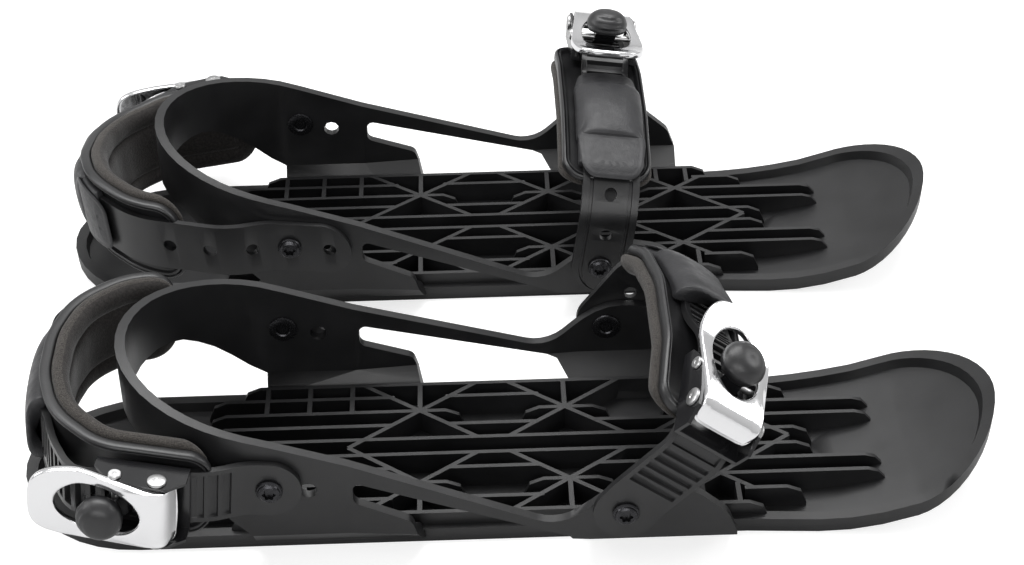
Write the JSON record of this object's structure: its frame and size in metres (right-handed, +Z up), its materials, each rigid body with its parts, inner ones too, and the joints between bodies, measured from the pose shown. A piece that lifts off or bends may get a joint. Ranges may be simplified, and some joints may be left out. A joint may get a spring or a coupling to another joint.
{
  "type": "pair of mini skis",
  "caption": "Pair of short wide plastic mini skis with ribbed footbeds, moulded heel loops and padded heel and toe straps closed by chrome ratchet buckles.",
  "frame": {"origin": "middle of the pair on the ground, halfway along the skis", "axes": "+X towards the ski tips, +Y to the wearer's left, +Z up"},
  "size_m": [0.4434, 0.3604, 0.1105],
  "materials": {
    "ski_plastic": "satin, lightly grained",
    "strap_plastic": "satin, lightly grained",
    "ladder_plastic": "semi-gloss",
    "buckle_plastic": "gloss",
    "cover_leather": "smooth satin",
    "felt": "rough felt",
    "lever_chrome": "polished",
    "tongue_rubber": "satin, ribbed",
    "pin_steel": "smooth",
    "screw_metal": "black oxide",
    "nut_steel": "zinc plated"
  },
  "bodies": {
    "right_ski": {"right_ski_body": "ski_plastic", "right_heel_outer_screw": "screw_metal", "right_heel_inner_screw": "screw_metal", "right_heel_outer_nut": "nut_steel", "right_heel_inner_nut": "nut_steel", "right_toe_outer_screw": "screw_metal", "right_toe_inner_screw": "screw_metal", "right_toe_outer_nut": "nut_steel", "right_toe_inner_nut": "nut_steel"},
    "right_heel_strap": {"right_heel_adjust_strap": "strap_plastic", "right_heel_pad": "felt", "right_heel_cover": "cover_leather", "right_heel_ladder_strap": "ladder_plastic", "right_heel_buckle_strap": "strap_plastic", "right_heel_buckle_base": "buckle_plastic", "right_heel_lever_pin": "pin_steel", "right_heel_tongue_pin": "pin_steel"},
    "right_heel_lever_body": {"right_heel_lever": "lever_chrome"},
    "right_heel_tongue_body": {"right_heel_tongue": "tongue_rubber"},
    "right_toe_strap": {"right_toe_adjust_strap": "strap_plastic", "right_toe_pad": "felt", "right_toe_cover": "cover_leather", "right_toe_ladder_strap": "ladder_plastic", "right_toe_buckle_strap": "strap_plastic", "right_toe_buckle_base": "buckle_plastic", "right_toe_lever_pin": "pin_steel", "right_toe_tongue_pin": "pin_steel"},
    "right_toe_lever_body": {"right_toe_lever": "lever_chrome"},
    "right_toe_tongue_body": {"right_toe_tongue": "tongue_rubber"},
    "left_ski": {"left_ski_body": "ski_plastic", "left_heel_outer_screw": "screw_metal", "left_heel_inner_screw": "screw_metal", "left_heel_outer_nut": "nut_steel", "left_heel_inner_nut": "nut_steel", "left_toe_outer_screw": "screw_metal", "left_toe_inner_screw": "screw_metal", "left_toe_outer_nut": "nut_steel", "left_toe_inner_nut": "nut_steel"},
    "left_heel_strap": {"left_heel_adjust_strap": "strap_plastic", "left_heel_pad": "felt", "left_heel_cover": "cover_leather", "left_heel_ladder_strap": "ladder_plastic", "left_heel_buckle_strap": "strap_plastic", "left_heel_buckle_base": "buckle_plastic", "left_heel_lever_pin": "pin_steel", "left_heel_tongue_pin": "pin_steel"},
    "left_heel_lever_body": {"left_heel_lever": "lever_chrome"},
    "left_heel_tongue_body": {"left_heel_tongue": "tongue_rubber"},
    "left_toe_strap": {"left_toe_adjust_strap": "strap_plastic", "left_toe_pad": "felt", "left_toe_cover": "cover_leather", "left_toe_ladder_strap": "ladder_plastic", "left_toe_buckle_strap": "strap_plastic", "left_toe_buckle_base": "buckle_plastic", "left_toe_lever_pin": "pin_steel", "left_toe_tongue_pin": "pin_steel"},
    "left_toe_lever_body": {"left_toe_lever": "lever_chrome"},
    "left_toe_tongue_body": {"left_toe_tongue": "tongue_rubber"}
  },
  "joints": [
    {"name": "left_ski_glide", "type": "slide", "parent": "right_ski", "child": "left_ski", "axis": [1, 0, 0], "range_m": [-0.2, 0.2]},
    {"name": "right_heel_strap_swing", "type": "hinge", "parent": "right_ski", "child": "right_heel_strap", "pos_m": [-0.1043, -0.091, 0.0434], "axis": [0, 1, 0], "range_deg": [-8, 120]},
    {"name": "right_heel_lever_lift", "type": "hinge", "parent": "right_heel_strap", "child": "right_heel_lever_body", "pos_m": [-0.1504, -0.16988, 0.04825], "axis": [0.1045, 0, 0.9945], "range_deg": [0, 70], "stiffness_Nm_per_rad": 0.02, "springref_deg": -20.05},
    {"name": "right_heel_tongue_tilt", "type": "hinge", "parent": "right_heel_strap", "child": "right_heel_tongue_body", "pos_m": [-0.16806, -0.16691, 0.0501], "axis": [-0.1045, 0, -0.9945], "range_deg": [0, 14], "stiffness_Nm_per_rad": 0.03, "springref_deg": -11.46},
    {"name": "right_toe_strap_swing", "type": "hinge", "parent": "right_ski", "child": "right_toe_strap", "pos_m": [0.0491, -0.091, 0.0322], "axis": [0, 1, 0], "range_deg": [-65, 12]},
    {"name": "right_toe_lever_lift", "type": "hinge", "parent": "right_toe_strap", "child": "right_toe_lever_body", "pos_m": [0.08968, -0.16309, 0.08606], "axis": [0.7986, 0, -0.6018], "range_deg": [0, 70], "stiffness_Nm_per_rad": 0.02, "springref_deg": -20.05},
    {"name": "right_toe_tongue_tilt", "type": "hinge", "parent": "right_toe_strap", "child": "right_toe_tongue_body", "pos_m": [0.09287, -0.14587, 0.09029], "axis": [-0.7986, 0, 0.6018], "range_deg": [0, 14], "stiffness_Nm_per_rad": 0.03, "springref_deg": -11.46},
    {"name": "left_heel_strap_swing", "type": "hinge", "parent": "left_ski", "child": "left_heel_strap", "pos_m": [-0.1043, 0.091, 0.0434], "axis": [0, 1, 0], "range_deg": [-3, 120]},
    {"name": "left_heel_lever_lift", "type": "hinge", "parent": "left_heel_strap", "child": "left_heel_lever_body", "pos_m": [-0.15054, 0.16988, 0.04017], "axis": [0.0698, 0, -0.9976], "range_deg": [0, 70], "stiffness_Nm_per_rad": 0.02, "springref_deg": -20.05},
    {"name": "left_heel_tongue_tilt", "type": "hinge", "parent": "left_heel_strap", "child": "left_heel_tongue_body", "pos_m": [-0.16826, 0.16691, 0.03893], "axis": [-0.0698, 0, 0.9976], "range_deg": [0, 14], "stiffness_Nm_per_rad": 0.03, "springref_deg": -11.46},
    {"name": "left_toe_strap_swing", "type": "hinge", "parent": "left_ski", "child": "left_toe_strap", "pos_m": [0.0491, 0.091, 0.0322], "axis": [0, 1, 0], "range_deg": [-36, 40]},
    {"name": "left_toe_lever_lift", "type": "hinge", "parent": "left_toe_strap", "child": "left_toe_lever_body", "pos_m": [0.0576, 0.15493, 0.09265], "axis": [-0.9903, 0, 0.1392], "range_deg": [0, 70], "stiffness_Nm_per_rad": 0.02, "springref_deg": -20.05},
    {"name": "left_toe_tongue_tilt", "type": "hinge", "parent": "left_toe_strap", "child": "left_toe_tongue_body", "pos_m": [0.05804, 0.13721, 0.09582], "axis": [0.9903, 0, -0.1392], "range_deg": [0, 14], "stiffness_Nm_per_rad": 0.03, "springref_deg": -11.46}
  ]
}
